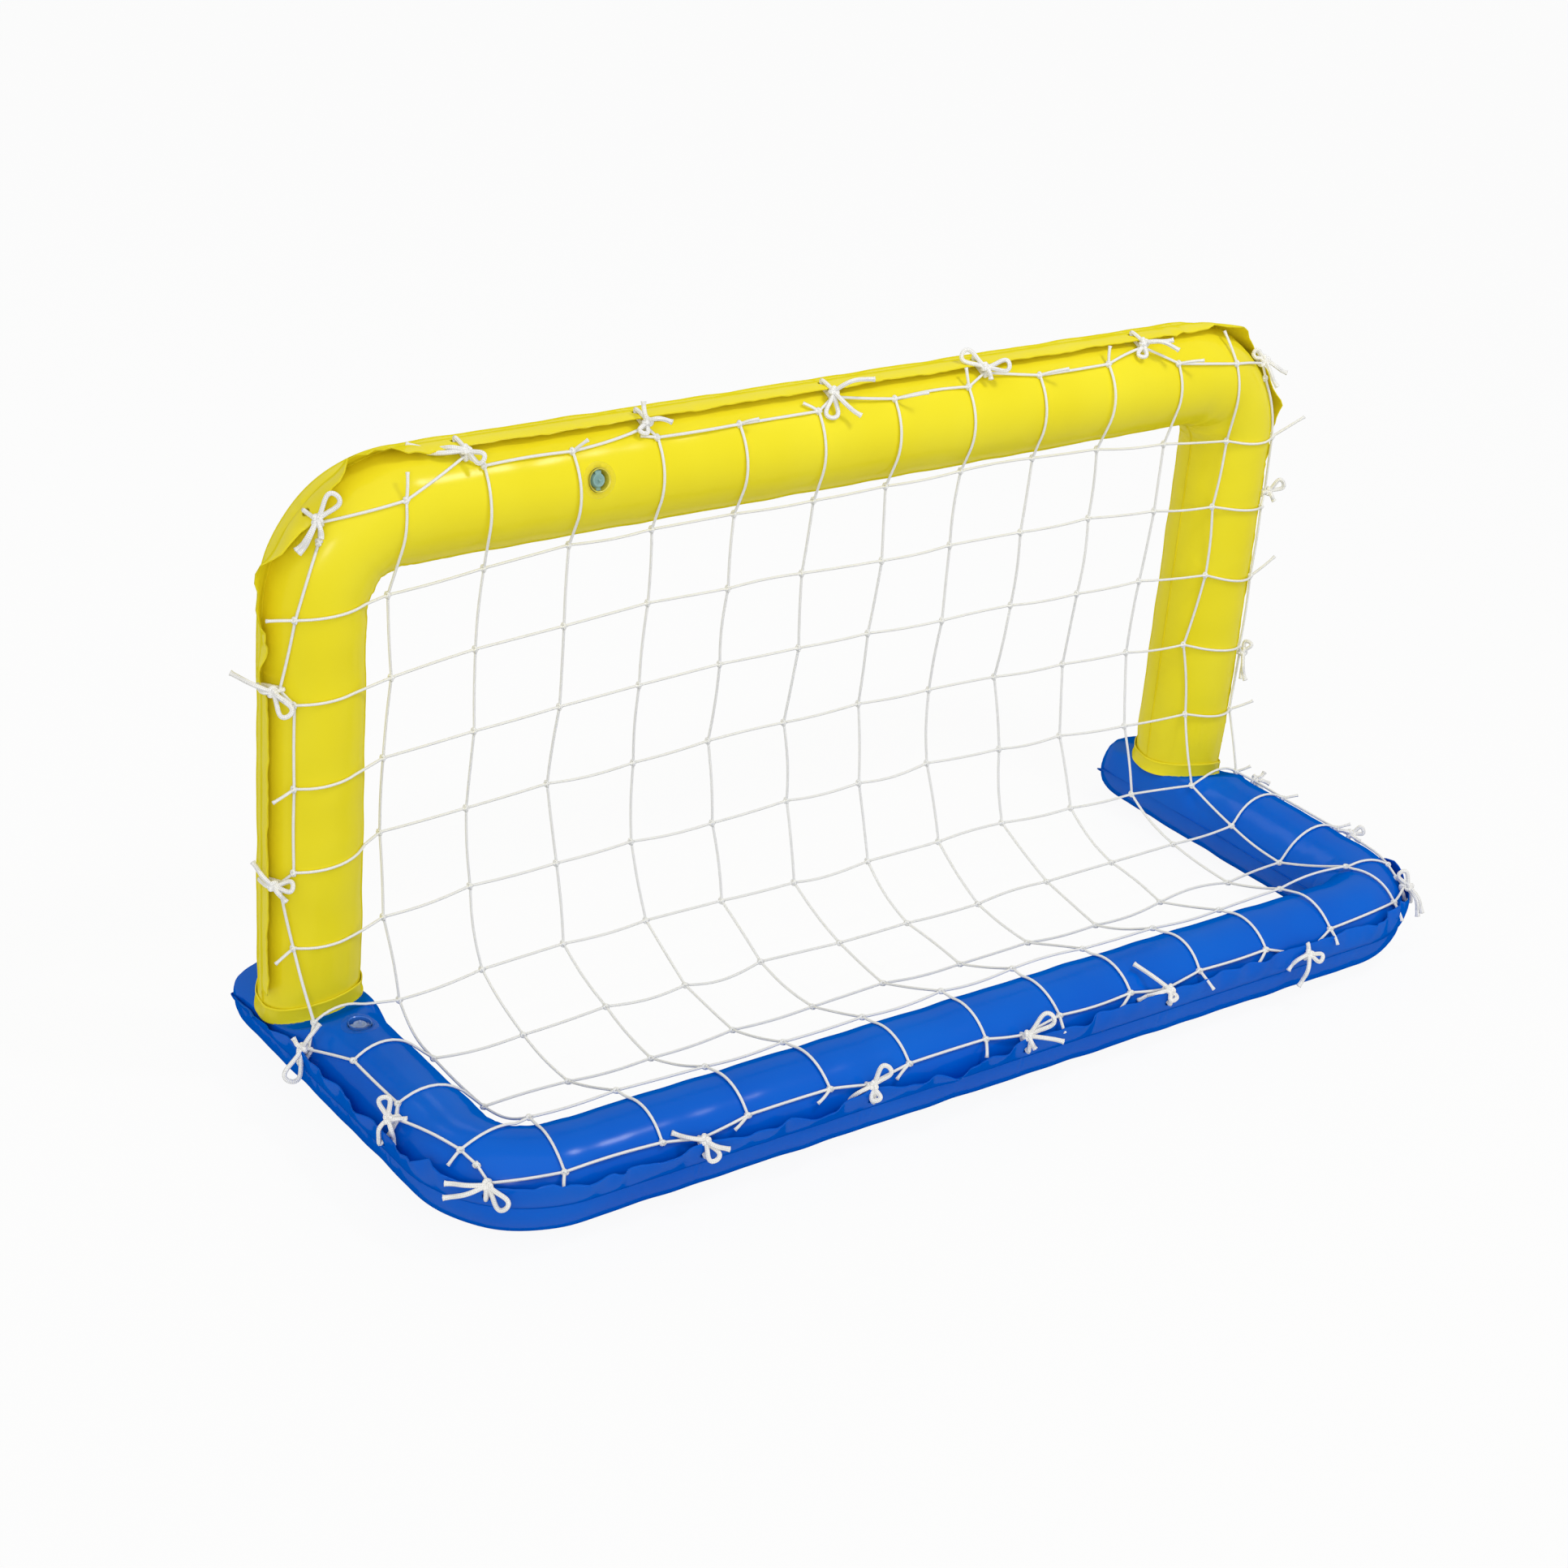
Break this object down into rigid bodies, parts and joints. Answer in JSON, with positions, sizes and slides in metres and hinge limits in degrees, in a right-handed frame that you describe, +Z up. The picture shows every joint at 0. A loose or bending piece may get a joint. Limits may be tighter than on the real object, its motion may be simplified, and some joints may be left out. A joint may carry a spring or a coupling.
{
  "type": "water polo goal",
  "caption": "Inflatable goal: a welded-film arch standing on the legs of a U-shaped floating base, with a knotted net tied to punched seam flaps.",
  "frame": {"origin": "middle of the floor under the goal, at the bottom centre of its box", "axes": "+X along the bars, to the right seen from behind the net; +Y out of the goal mouth; +Z up"},
  "size_m": [1.3748, 0.5636, 0.6753],
  "materials": {
    "vinyl_blue": "glossy welded vinyl film, blue",
    "vinyl_yellow": "glossy welded vinyl film, yellow",
    "vinyl_clear": "soft clear vinyl with a green-blue tint",
    "net_twine": "white braided synthetic twine",
    "tie_cord": "white braided synthetic cord"
  },
  "bodies": {
    "goal": {"base_upper_sheet": "vinyl_blue", "base_lower_sheet": "vinyl_blue", "arch_back_sheet": "vinyl_yellow", "arch_front_sheet": "vinyl_yellow", "left_foot_collar": "vinyl_yellow", "right_foot_collar": "vinyl_yellow", "arch_valve_body": "vinyl_clear", "base_valve_body": "vinyl_clear", "net": "net_twine", "tie_01": "tie_cord", "tie_02": "tie_cord", "tie_03": "tie_cord", "tie_04": "tie_cord", "tie_05": "tie_cord", "tie_06": "tie_cord", "tie_07": "tie_cord", "tie_08": "tie_cord", "tie_09": "tie_cord", "tie_10": "tie_cord", "tie_11": "tie_cord", "tie_12": "tie_cord", "tie_13": "tie_cord", "tie_14": "tie_cord", "tie_15": "tie_cord", "tie_16": "tie_cord", "tie_17": "tie_cord", "tie_18": "tie_cord", "tie_19": "tie_cord", "tie_20": "tie_cord", "tie_21": "tie_cord", "tie_22": "tie_cord"},
    "arch_stem": {"arch_valve_stem": "vinyl_clear"},
    "arch_plug": {"arch_valve_plug": "vinyl_clear"},
    "arch_check": {"arch_valve_check": "vinyl_clear"},
    "base_stem": {"base_valve_stem": "vinyl_clear"},
    "base_plug": {"base_valve_plug": "vinyl_clear"},
    "base_check": {"base_valve_check": "vinyl_clear"}
  },
  "joints": [
    {"name": "arch_stem_slide", "type": "slide", "parent": "goal", "child": "arch_stem", "axis": [0, -0.9659, 0.2588], "range_m": [0, 0.01]},
    {"name": "arch_plug_pull", "type": "slide", "parent": "arch_stem", "child": "arch_plug", "axis": [0, -0.9659, 0.2588], "range_m": [0, 0.012]},
    {"name": "arch_check_hinge", "type": "hinge", "parent": "arch_stem", "child": "arch_check", "pos_m": [-0.31043, 0.13558, 0.60864], "axis": [0, -0.2588, -0.9659], "range_deg": [0, 60]},
    {"name": "base_stem_slide", "type": "slide", "parent": "goal", "child": "base_stem", "axis": [0, 0, 1], "range_m": [0, 0.01]},
    {"name": "base_plug_pull", "type": "slide", "parent": "base_stem", "child": "base_plug", "axis": [0, 0, 1], "range_m": [0, 0.012]},
    {"name": "base_check_hinge", "type": "hinge", "parent": "base_stem", "child": "base_check", "pos_m": [-0.605, 0.06664, 0.07364], "axis": [1, 0, 0], "range_deg": [0, 60]}
  ]
}
